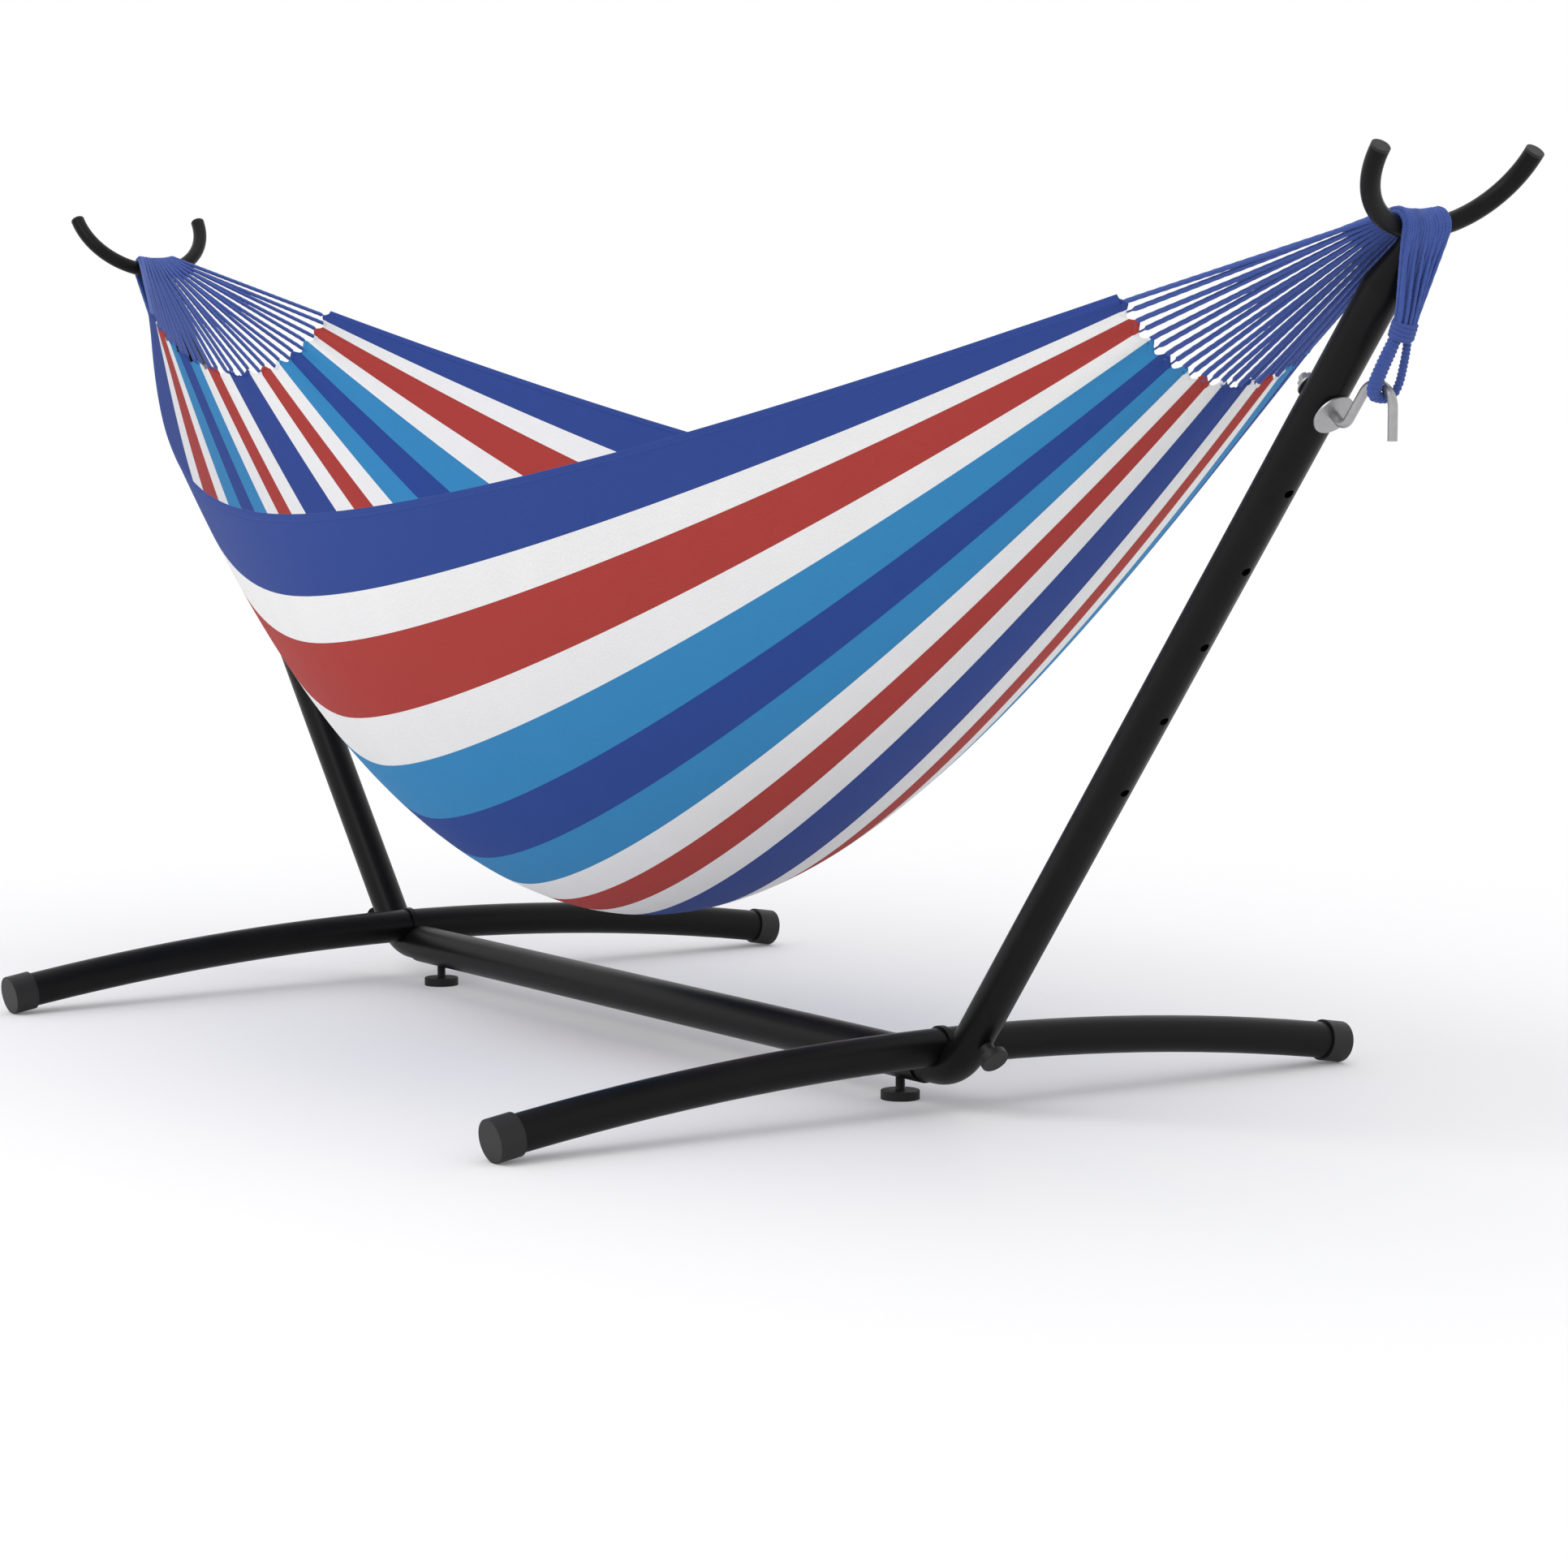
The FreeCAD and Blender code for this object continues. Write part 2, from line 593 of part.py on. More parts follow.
def suspension_cords():
    """Pairs of straight cords from the bed's end to just short of the cradle, stacked two high there."""
    pairs = int(size("cordPairs"))
    radius, gap = size("cordRadius"), size("touchGap")
    cords = []
    for index in range(pairs):
        across = 2 * (index + 0.5) / pairs - 1
        for leg in (-1, 1):
            bed_side = end_point(across + leg * LEG_SPREAD / pairs)
            hang = HANG + ACROSS * (across * size("cordStackHalf")) + Vector(0, 0, leg * (radius + gap / 4))
            line = hang - bed_side
            reach = line.Length - size("cordGap") - size("bedThick")
            line.normalize()
            start = bed_side + line * (size("bedThick") / 2 + 3 * gap)
            cords.append(Part.makeCylinder(radius, reach, start, line))
    return feature("cord_group", Part.makeCompound(cords))


# ---------------------------------------------------------------- assembly
node("base_beam", base_beam())
both_ends("elbow", elbow())
both_ends("post", post())
both_ends("foot_tube_front", foot_tube("front_foot", -1))
both_ends("foot_tube_rear", foot_tube("rear_foot", 1))
both_ends("end_cap_front", end_cap("front_cap", -1))
both_ends("end_cap_rear", end_cap("rear_cap", 1))
both_ends("cradle", cradle())
both_ends("cradle_plugs", cradle_plugs())
both_ends("levelling_pad", levelling_pad())
both_ends("levelling_stem", levelling_stem())
both_ends("levelling_nut", levelling_nut())
both_ends("knob", knob())
both_ends("knob_stud", knob_stud())
both_ends("knob_nut", knob_nut())
both_ends("hook_bolt", hook_bolt())
both_ends("hook_washer", washer("outer_washer", "Sizes.washerRadius", size("postRadius")))
both_ends(
    "hook_inner_washer",
    washer("inner_washer", "Sizes.innerWasherRadius", -size("postRadius") - size("washerThick")),
)
both_ends("hook_nut", hook_nut())
both_ends("eye_loop", eye_loop())
both_ends("whipping", whipping())
both_ends("cord_bundle", cord_bundle())
both_ends("suspension_cords", suspension_cords())
node("hammock_bed", hammock_bed())

doc.recompute()

for item in doc.Objects:
    if "Invalid" in item.State or "Error" in item.State:
        raise RuntimeError(f"{item.Label} did not compute: {item.State}")

os.makedirs("parts", exist_ok=True)
for name, part in nodes.items():
    shape = part.Shape
    if shape.isNull() or not shape.isValid() or not shape.Solids:
        raise RuntimeError(f"{name} has no valid solid")
    shape.exportStep(f"parts/{name}.step")
    print(f"{name}: {len(shape.Solids)} solid(s), {shape.Volume / 1000:.1f} cm3")
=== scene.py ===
"""The looks of a striped hammock on a take-down steel stand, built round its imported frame.

Metres, +Z up, +X along the beam, origin on the floor under the middle of the beam. The object is
symmetric about the YZ plane: pieces are worked out for the right end (+X) and mirrored to the left.
"""

import math
import random

import bpy
import numpy as np
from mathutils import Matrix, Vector


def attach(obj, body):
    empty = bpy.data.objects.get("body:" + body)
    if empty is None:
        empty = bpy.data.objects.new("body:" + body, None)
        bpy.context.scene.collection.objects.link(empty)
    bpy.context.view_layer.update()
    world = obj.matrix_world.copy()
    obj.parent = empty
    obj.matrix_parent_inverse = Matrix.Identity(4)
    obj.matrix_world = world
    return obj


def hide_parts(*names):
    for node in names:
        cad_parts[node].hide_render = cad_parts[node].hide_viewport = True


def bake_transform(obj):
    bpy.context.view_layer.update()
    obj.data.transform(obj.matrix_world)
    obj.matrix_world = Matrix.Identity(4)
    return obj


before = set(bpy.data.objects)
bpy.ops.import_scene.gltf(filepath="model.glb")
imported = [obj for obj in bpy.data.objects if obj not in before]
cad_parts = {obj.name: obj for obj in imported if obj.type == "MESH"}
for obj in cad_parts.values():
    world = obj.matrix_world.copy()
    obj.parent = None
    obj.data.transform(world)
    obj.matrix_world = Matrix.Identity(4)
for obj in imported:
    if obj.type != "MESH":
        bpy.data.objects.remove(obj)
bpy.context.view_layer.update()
random.seed(7)

SIDES = {"right": 1, "left": -1}

# ---------------------------------------------------------------- the stand's driving dimensions
SLOPE = math.radians(51.26)
ALONG = Vector((math.cos(SLOPE), 0, math.sin(SLOPE)))       # up the right post
OUTWARD = Vector((math.sin(SLOPE), 0, -math.cos(SLOPE)))    # square to it, away from the bed
ACROSS = Vector((0, 1, 0))
UP = Vector((0, 0, 1))
KNEE = Vector((0.655, 0, 0.0505))
CRADLE_ALONG, CRADLE_BEND, ROD_RADIUS = 1.199, 0.100, 0.010
HOOK_ALONG, HOOK_STANDOFF, HOOK_RISE, HOOK_ARCH, HOOK_RADIUS = 0.984, 0.044, 0.045, 0.0245, 0.005
PAD_OFFSET, PAD_HEIGHT, STEM_TOP, STEM_RADIUS = 0.543, 0.0105, 0.052, 0.006
STEM_PITCH = 0.00175
NECK_RADIUS = 0.011          # the post's neck, where the cradle rod is welded on

# ---------------------------------------------------------------- the bed and its cords
AXIS_HEIGHT, AXIS_END = 1.010, 1.405      # the bed's axis: its arcs are turned about this line
MID_SAG, EDGE_RISE, MID_ANGLE, MID_LINEAR = 0.8508, 0.2223, 1.0076, 0.6037
LOOSE_END, LOOSE_SAG, LOOSE_ANGLE = 1.164, 0.181, 1.0664      # the arc that the threads aim for
BED_END, END_SWEEP, END_SAG, END_RISE = 1.1370, 0.0102, 0.1753, 0.0071      # where the cloth ends
END_ANGLE, END_LINEAR = 1.0214, 1.0289
DRAW_BACK, DRAW_IN = 5.263, 3.486         # how late along a thread it is drawn to its own end
WAIST, WAIST_LIFT = 0.0372, 0.0156        # the edges lie this much further in, and higher
WAIST_PEAK = 4 / 27          # the greatest value of p**2 * (1 - p)
CLOTH_THICK = 0.0016
FLAT = (1.50, 2.48)          # the cloth as cut, across and along
TABS = 14                    # cloth tabs at each end, each with one cord through it
TAB_SHARE = 0.50             # how much of the end a tab takes, the rest is a hollow
HOLLOW = 0.0040              # how deep the end is cut in between two tabs
STAGGER = 0.0045             # each tab slants: its outer corner is this much further out
PLEAT, PLEAT_REACH = 0.0028, 0.22
CORD_RADIUS = 0.0027
CORD_IN_WHIPPING, CORD_IN_CASING = 0.0019, 0.0011      # squeezed by the turns and the stitching
COLUMN = 0.0020              # the cords' spacing on the rod
WHIPPING_TOP_ALONG, WHIPPING_OUTWARD, WHIPPING_LENGTH, WHIPPING_RADIUS = 1.122, 0.047, 0.019, 0.0139
EYE_STRAND = 0.0055


def on_post(along, outward=0.0):
    return KNEE + ALONG * along + OUTWARD * outward


ROD = on_post(CRADLE_ALONG)
WHIPPING_TOP = on_post(WHIPPING_TOP_ALONG, WHIPPING_OUTWARD)
ARCH_CENTRE = on_post(HOOK_ALONG, HOOK_STANDOFF + HOOK_ARCH) + ALONG * HOOK_RISE
EYE_LOW = ARCH_CENTRE + ALONG * (HOOK_ARCH - HOOK_RADIUS - EYE_STRAND - 0.0002)
EYE_LEAN = (WHIPPING_TOP - EYE_LOW).normalized()
EYE_SIDE = ACROSS.cross(EYE_LEAN)


# ---------------------------------------------------------------- small helpers
def mesh_object(name, points, faces, material, uvs=None, side=1):
    """A mesh from numpy points; side -1 mirrors it in X and turns its faces round."""
    points = np.asarray(points, float) * np.array([side, 1, 1])
    if side < 0:
        faces = [face[::-1] for face in faces]
    mesh = bpy.data.meshes.new(name)
    mesh.from_pydata(points.tolist(), [], faces)
    if uvs is not None:
        layer = mesh.uv_layers.new(name="UVMap")
        loops = np.zeros(len(mesh.loops), np.int32)
        mesh.loops.foreach_get("vertex_index", loops)
        layer.data.foreach_set("uv", np.asarray(uvs, np.float32)[loops].ravel())
    mesh.polygons.foreach_set("use_smooth", [True] * len(mesh.polygons))
    mesh.materials.append(material)
    mesh.update()
    obj = bpy.data.objects.new(name, mesh)
    bpy.context.scene.collection.objects.link(obj)
    return obj


def grid_faces(rows, columns, closed=False):
    """Quads over a grid of rows x columns points; closed joins the last column to the first."""
    faces = []
    for row in range(rows - 1):
        for column in range(columns if closed else columns - 1):
            following = (column + 1) % columns
            a, b = row * columns + column, row * columns + following
            faces.append((a, b, b + columns, a + columns))
    return faces


NURBS_STEPS = 14


def nurbs_line(points):
    """The points of the smooth line that a NURBS spline makes of its control points."""
    curve = bpy.data.curves.new("route", "CURVE")
    curve.dimensions = "3D"
    spline = curve.splines.new("NURBS")
    spline.points.add(len(points) - 1)
    for knot, point in zip(spline.points, points):
        knot.co = (*point, 1)
    spline.order_u = 3
    spline.use_endpoint_u = True
    spline.resolution_u = NURBS_STEPS
    holder = bpy.data.objects.new("route", curve)
    mesh = bpy.data.meshes.new_from_object(holder)
    line = np.array([v.co for v in mesh.vertices], float)
    bpy.data.objects.remove(holder)
    bpy.data.meshes.remove(mesh)
    bpy.data.curves.remove(curve)
    return line


def reach_along(line):
    """How far along a line each of its points lies."""
    return np.concatenate([[0], np.cumsum(np.linalg.norm(np.diff(line, axis=0), axis=1))])


def directions(line):
    """The unit direction of a line at each of its points."""
    steps = np.gradient(np.asarray(line, float), axis=0)
    return steps / np.linalg.norm(steps, axis=1)[:, None]


def spaced(line, step):
    """The same line with its points a step apart."""
    reach = reach_along(line)
    marks = np.linspace(0, reach[-1], max(2, math.ceil(reach[-1] / step) + 1))
    return np.stack([np.interp(marks, reach, line[:, axis]) for axis in range(3)], axis=1)


def transported(line, first):
    """Side and up directions, square to the line, that turn with it and don't spin about it."""
    tangents = directions(line)
    side = np.asarray(first, float)
    sides = []
    for tangent in tangents:
        side = side - tangent * (side @ tangent)
        side /= np.linalg.norm(side)
        sides.append(side)
    sides = np.array(sides)
    return sides, np.cross(tangents, sides)


def swept(line, sides, ups, radii, rings, caps=True):
    """Points and faces of a tube: each row has its own two radii and its own ring of points."""
    count = len(rings[0])
    rows = [
        centre + ring[:, :1] * side * wide + ring[:, 1:] * up * deep
        for centre, side, up, (wide, deep), ring in zip(line, sides, ups, radii, rings)
    ]
    points = np.concatenate(rows)
    faces = grid_faces(len(line), count, closed=True)
    if caps:
        faces.append(tuple(range(count))[::-1])
        last = (len(line) - 1) * count
        faces.append(tuple(range(last, last + count)))
    return points, faces


def round_ring(count):
    angles = np.arange(count) * 2 * math.pi / count
    return np.stack([np.cos(angles), np.sin(angles)], axis=1)


# ---------------------------------------------------------------- materials
class Nodes:
    """A material's node tree with short ways to add nodes to it."""

    def __init__(self, name):
        self.material = bpy.data.materials.new(name)
        self.material.use_nodes = True
        self.tree = self.material.node_tree
        self.shader = self.tree.nodes["Principled BSDF"]

    def add(self, kind, settings=None, **inputs):
        node = self.tree.nodes.new(kind)
        for key, value in (settings or {}).items():
            setattr(node, key, value)
        for key, value in inputs.items():
            self.feed(node, key.replace("_", " "), value)
        return node

    def feed(self, node, name, value):
        socket = node.inputs[int(name) if name.isdigit() else name]
        if isinstance(value, bpy.types.NodeSocket):
            self.tree.links.new(value, socket)
        else:
            socket.default_value = value

    def math(self, operation, first, second=0.0):
        node = self.tree.nodes.new("ShaderNodeMath")
        node.operation = operation
        self.feed(node, "0", first)
        self.feed(node, "1", second)
        return node.outputs[0]

    def noise(self, vector, scale, detail=3.0, rough=0.5):
        node = self.add("ShaderNodeTexNoise", Scale=scale, Detail=detail, Roughness=rough)
        if vector is not None:
            self.feed(node, "Vector", vector)
        return node.outputs["Fac"]

    def span(self, value, low, high, from_low=0.0, from_high=1.0):
        node = self.tree.nodes.new("ShaderNodeMapRange")
        self.feed(node, "Value", value)
        for name, limit in zip(
            ("From Min", "From Max", "To Min", "To Max"), (from_low, from_high, low, high)
        ):
            node.inputs[name].default_value = limit
        return node.outputs["Result"]

    def tinted(self, colour, factor):
        """A colour made lighter or darker by a factor near 1."""
        node = self.tree.nodes.new("ShaderNodeVectorMath")
        node.operation = "SCALE"
        self.feed(node, "0", colour)
        self.feed(node, "Scale", factor)
        return node.outputs[0]

    def bump(self, height, distance, strength=1.0, normal=None):
        node = self.add("ShaderNodeBump", Strength=strength, Distance=distance)
        self.feed(node, "Height", height)
        if normal is not None:
            self.feed(node, "Normal", normal)
        return node.outputs["Normal"]

    def set(self, **inputs):
        for key, value in inputs.items():
            self.feed(self.shader, key.replace("_", " "), value)


def powder_coat():
    """Black powder-coated steel: a satin skin with a fine grain and slight dulling in patches."""
    n = Nodes("black_powder_coat")
    place = n.add("ShaderNodeTexCoord").outputs["Object"]
    grain = n.noise(place, 1400.0, 2.0)
    patches = n.noise(place, 18.0, 4.0, 0.6)
    colour = n.tinted((0.0042, 0.0042, 0.0045), n.span(patches, 0.7, 1.35))
    n.set(Base_Color=colour, Roughness=n.span(patches, 0.30, 0.42))
    n.set(Normal=n.bump(grain, 0.00012, 0.5))
    n.shader.inputs["Specular IOR Level"].default_value = 0.13
    return n.material


def black_moulding(name, level, rough):
    """Moulded black plastic or rubber with a spark-eroded grain."""
    n = Nodes(name)
    place = n.add("ShaderNodeTexCoord").outputs["Object"]
    grain = n.noise(place, 2200.0, 3.0, 0.65)
    scuffs = n.noise(place, 60.0, 5.0, 0.7)
    colour = n.tinted((level, level, level * 1.03), n.span(scuffs, 0.8, 1.3))
    n.set(Base_Color=colour, Roughness=n.span(scuffs, rough - 0.06, rough + 0.08))
    n.set(Normal=n.bump(grain, 0.00015, 0.6))
    n.shader.inputs["Specular IOR Level"].default_value = 0.28
    return n.material


def zinc_plate():
    """Bright zinc on steel: a little cloudy, with fine drawing lines."""
    n = Nodes("zinc_plate")
    place = n.add("ShaderNodeTexCoord").outputs["Object"]
    clouds = n.noise(place, 120.0, 4.0, 0.6)
    fine = n.noise(place, 1800.0, 2.0)
    colour = n.tinted((0.40, 0.40, 0.405), n.span(clouds, 0.80, 1.14))
    n.set(Base_Color=colour, Metallic=0.9, Roughness=n.span(clouds, 0.30, 0.44))
    n.set(Normal=n.bump(fine, 0.00006, 0.5))
    return n.material


WEAVE_PITCH = 0.0016


def threads_of(n, along, across):
    """A plain weave: the height of warp and weft threads that pass over and under each other."""
    turns = 2 * math.pi / WEAVE_PITCH
    warp = n.math("SINE", n.math("MULTIPLY", across, turns))
    weft = n.math("SINE", n.math("MULTIPLY", along, turns))
    return n.math("MULTIPLY", warp, weft)


STRIPE_WIDTHS = (
    0.0418, 0.0271, 0.0521, 0.0376, 0.0545, 0.0538, 0.0519, 0.0411, 0.0479, 0.0454
)
ROYAL, DEEP = (0.031, 0.065, 0.278), (0.024, 0.064, 0.286)
RED, SKY, WHITE = (0.412, 0.049, 0.042), (0.038, 0.245, 0.515), (0.86, 0.86, 0.86)
STRIPES = (ROYAL, WHITE, RED, WHITE, SKY, DEEP, SKY, WHITE, RED, WHITE)


def striped_cloth():
    """Woven cotton: 21 lengthwise stripes, a fine weave, slubs and a soft fuzz."""
    n = Nodes("striped_cotton")
    split = n.add("ShaderNodeSeparateXYZ")
    n.feed(split, "Vector", n.add("ShaderNodeTexCoord").outputs["UV"])
    along, across = split.outputs["X"], split.outputs["Y"]
    ramp = n.tree.nodes.new("ShaderNodeValToRGB")
    ramp.color_ramp.interpolation = "CONSTANT"
    n.feed(ramp, "Fac", n.math("DIVIDE", across, FLAT[0]))
    edges = np.concatenate([[0], np.cumsum(STRIPE_WIDTHS)])
    colours = [*STRIPES, ROYAL, *STRIPES[::-1]]
    starts = [*edges, *(1 - edges[:0:-1])]
    for index, (start, colour) in enumerate(zip(starts, colours)):
        stop = ramp.color_ramp.elements[0] if index == 0 else ramp.color_ramp.elements.new(start)
        stop.position = start
        stop.color = (*colour, 1)
    spare = [stop for stop in ramp.color_ramp.elements if stop.position == 1.0]
    for stop in spare:
        ramp.color_ramp.elements.remove(stop)
    weave = threads_of(n, along, across)
    stretched = n.add("ShaderNodeCombineXYZ")
    n.feed(stretched, "X", n.math("MULTIPLY", along, 900.0))
    n.feed(stretched, "Y", n.math("MULTIPLY", across, 350.0))
    slubs = n.noise(stretched.outputs[0], 1.0, 3.0, 0.6)
    drift = n.noise(stretched.outputs[0], 0.02, 3.0)
    shade = n.math("ADD", n.span(slubs, 0.90, 1.08, 0.25, 0.75), n.span(drift, -0.03, 0.03))
    relief = n.math("ADD", n.math("MULTIPLY", weave, 0.5), n.math("MULTIPLY", slubs, 1.2))
    n.set(Base_Color=n.tinted(ramp.outputs["Color"], shade), Roughness=0.9)
    n.set(Normal=n.bump(relief, 0.00035, 0.55))
    n.shader.inputs["Specular IOR Level"].default_value = 0.12
    n.shader.inputs["Sheen Weight"].default_value = 0.05
    n.shader.inputs["Sheen Roughness"].default_value = 0.5
    return n.material


STITCH_PITCH, STITCH_PLACE, STITCH_HALF_WIDE = 0.0045, 0.006, 0.0006


def hem_cloth():
    """The royal blue selvedge, turned over and stitched with small dashes near its inner side."""
    n = Nodes("blue_hem")
    split = n.add("ShaderNodeSeparateXYZ")
    n.feed(split, "Vector", n.add("ShaderNodeTexCoord").outputs["UV"])
    along, round_it = split.outputs["X"], split.outputs["Y"]
    weave = threads_of(n, along, round_it)
    dash = n.math("GREATER_THAN", n.math("FRACT", n.math("MULTIPLY", along, 1 / STITCH_PITCH)), 0.3)
    beside = n.math("ABSOLUTE", n.math("SUBTRACT", round_it, STITCH_PLACE))
    seam = n.math("LESS_THAN", beside, STITCH_HALF_WIDE)
    stitch = n.math("MULTIPLY", dash, seam)
    slubs = n.noise(n.add("ShaderNodeTexCoord").outputs["Object"], 500.0, 3.0, 0.6)
    shade = n.math("ADD", n.span(slubs, 0.85, 1.1), n.math("MULTIPLY", stitch, 0.15))
    relief = n.math("ADD", n.math("MULTIPLY", weave, 0.5), n.math("MULTIPLY", stitch, 1.5))
    n.set(Base_Color=n.tinted(ROYAL, shade), Roughness=0.9, Normal=n.bump(relief, 0.0004, 0.6))
    n.shader.inputs["Specular IOR Level"].default_value = 0.12
    n.shader.inputs["Sheen Weight"].default_value = 0.05
    return n.material


CORD_BLUE = (0.046, 0.088, 0.330)
YARNS = 4                    # yarns that cross round a cord


def cord_fibre(name, pitch):
    """Blue cord: fine yarns that cross at a slant, each with a slightly different tone."""
    n = Nodes(name)
    split = n.add("ShaderNodeSeparateXYZ")
    n.feed(split, "Vector", n.add("ShaderNodeTexCoord").outputs["UV"])
    along, round_it = split.outputs["X"], split.outputs["Y"]
    lean = n.math("MULTIPLY", along, 2 * math.pi / pitch)
    turn = n.math("MULTIPLY", round_it, 2 * math.pi * YARNS)
    left = n.math("SINE", n.math("ADD", lean, turn))
    right = n.math("SINE", n.math("SUBTRACT", lean, turn))
    braid = n.math("MULTIPLY", left, right)
    fuzz = n.noise(n.add("ShaderNodeTexCoord").outputs["Object"], 900.0, 3.0, 0.7)
    shade = n.math("ADD", n.span(braid, 0.88, 1.10, -1.0, 1.0), n.span(fuzz, -0.10, 0.10))
    relief = n.math("ADD", braid, n.math("MULTIPLY", fuzz, 0.8))
    n.set(Base_Color=n.tinted(CORD_BLUE, shade), Roughness=0.85)
    n.set(Normal=n.bump(relief, 0.00035, 0.6))
    n.shader.inputs["Specular IOR Level"].default_value = 0.3
    n.shader.inputs["Sheen Weight"].default_value = 0.10
    return n.material


BLACK = powder_coat()
PLASTIC = black_moulding("black_plastic", 0.013, 0.46)
RUBBER = black_moulding("black_rubber", 0.009, 0.62)
ZINC = zinc_plate()
CLOTH = striped_cloth()
HEM = hem_cloth()
CORD = cord_fibre("blue_cord", 0.006)
WRAP = cord_fibre("blue_wrap", 0.004)

FINISHES = {
    BLACK: ("base_beam", "elbow", "post", "foot_tube_front", "foot_tube_rear", "cradle"),
    PLASTIC: ("end_cap_front", "end_cap_rear", "cradle_plugs", "knob"),
    RUBBER: ("levelling_pad",),
    ZINC: (
        "levelling_nut", "knob_stud", "knob_nut", "hook_bolt", "hook_washer", "hook_inner_washer",
        "hook_nut",
    ),
}


def paint_cad_nodes():
    for name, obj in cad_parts.items():
        kind = name.removesuffix("_right").removesuffix("_left")
        for material, kinds in FINISHES.items():
            if kind in kinds:
                obj.data.materials.clear()
                obj.data.materials.append(material)


# ---------------------------------------------------------------- the bed's surface
def hanging(offset, sag, angle):
    """A point at a distance below the bed's axis, turned about that axis."""
    return np.array([offset, sag * math.sin(angle), AXIS_HEIGHT - sag * math.cos(angle)])


def end_point(across):
    angle = END_ANGLE * (END_LINEAR * across + (1 - END_LINEAR) * across**3)
    return hanging(BED_END - END_SWEEP * across**2, END_SAG - END_RISE * across**2, angle)


def thread(across, share):
    """A point of a lengthwise thread: share 0 is its middle, 1 the right end, -1 the left."""
    angle = MID_ANGLE * (MID_LINEAR * across + (1 - MID_LINEAR) * across**3)
    middle = hanging(0, MID_SAG - EDGE_RISE * across**2, angle)
    loose = hanging(LOOSE_END, LOOSE_SAG, LOOSE_ANGLE * across)
    slope = (AXIS_HEIGHT - loose[2]) / (AXIS_END - loose[0])
    control = np.array([loose[0] - (loose[2] - middle[2]) / slope, middle[1], middle[2]])
    part = abs(share)
    point = (1 - part) ** 2 * middle + 2 * part * (1 - part) * control + part**2 * loose
    point += (end_point(across) - loose) * np.array([part**DRAW_BACK, part**DRAW_IN, part**DRAW_IN])
    waist = part**2 * (1 - part) / WAIST_PEAK
    point += np.array([0, -WAIST * across * abs(across), WAIST_LIFT * across**2]) * waist
    return point * np.array([1 if share >= 0 else -1, 1, 1])


END_SPEED = 2.05       # metres of thread for a share of 1, near the bed's end


def tab_phase(across):
    """0 at the middle of a tab, 1 half way to the next one."""
    place = (across + 1) / 2 * TABS - 0.5
    return abs(place - round(place)) * 2


def tab_share(across):
    """Where a tab ends: its outer corner further out than its inner one."""
    place = (abs(across) + 1) / 2 * TABS
    return 1 - STAGGER / END_SPEED * math.sin(2 * math.pi * place)


def end_share(across):
    """Where a thread ends: in line with the tabs, and short of that in the hollow between two."""
    beyond = max(0.0, (tab_phase(across) - TAB_SHARE) / (1 - TAB_SHARE))
    return tab_share(across) - HOLLOW / END_SPEED * math.sin(math.pi / 2 * min(1.0, beyond))


def bed_point(across, share):
    """The cloth itself: the thread, with pleats that deepen towards the ends."""
    point = thread(across, share)
    near = max(0.0, 1 - (1 - abs(share)) * END_SPEED / PLEAT_REACH)
    depth = PLEAT * near**1.5 * (0.5 - 0.5 * math.cos(math.pi * tab_phase(across)))
    away = point - np.array([point[0], 0, AXIS_HEIGHT])
    return point + away / np.linalg.norm(away) * depth


ACROSS_STEPS = TABS * 14
HALF_STEPS = 60
SHARES = [math.sin(math.pi / 2 * k / HALF_STEPS) for k in range(-HALF_STEPS, HALF_STEPS + 1)]


def thread_positions():
    return [2 * k / ACROSS_STEPS - 1 for k in range(ACROSS_STEPS + 1)]


def bed():
    """The cloth sheet, with the stripes' coordinates in its UV: metres along and metres across."""
    places = thread_positions()
    points, uvs = [], []
    for across in places:
        reach = end_share(across)
        for share in SHARES:
            points.append(bed_point(across, share * reach))
            uvs.append(((share + 1) / 2 * FLAT[1], (across + 1) / 2 * FLAT[0]))
    faces = [face[::-1] for face in grid_faces(len(places), len(SHARES))]
    cloth = mesh_object("hammock_cloth", points, faces, CLOTH, uvs)
    thick = cloth.modifiers.new("thickness", "SOLIDIFY")
    thick.thickness, thick.offset = CLOTH_THICK, 0.0
    return cloth


RIBBON_SIDES = 12
HEM_HALF_WIDE, HEM_HALF_THICK = 0.0055, 0.0013
HEM_INSET = 0.006            # how far in from the edge the hem's middle lies, as a share


def ribbon(name, line, across_dirs, radii, material, body, uvs=None, run=None):
    """A flat rolled band along a line, with its half width and half thickness for each row.

    Its sections stand square to the line, or to another line, run, beside it.
    """
    line = np.asarray(line, float)
    tangents = directions(line if run is None else run)
    sides = np.asarray(across_dirs, float)
    sides -= tangents * (sides * tangents).sum(1)[:, None]
    sides /= np.linalg.norm(sides, axis=1)[:, None]
    ups = np.cross(tangents, sides)
    points, faces = swept(line, sides, ups, radii, [round_ring(RIBBON_SIDES)] * len(line))
    if uvs is None:
        steps = [index * radii[0][0] / 3 for index in range(RIBBON_SIDES)]
        uvs = [(mark, step) for mark in reach_along(line) for step in steps]
    obj = mesh_object(name, points, faces, material, uvs)
    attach(obj, body)
    return obj


def hems():
    """Turned hems along the two long edges of the bed."""
    made = []
    for name, across in (("hem_front", -1.0), ("hem_rear", 1.0)):
        inner = across * (1 - HEM_INSET)
        reach = end_share(inner)
        line = [bed_point(inner, share * reach) for share in SHARES]
        beside = [bed_point(across, share * reach) for share in SHARES]
        towards = [b - a for a, b in zip(line, beside)]
        radii = [(HEM_HALF_WIDE, HEM_HALF_THICK)] * len(line)
        made.append(ribbon(name, line, towards, radii, HEM, "hammock"))
    return made


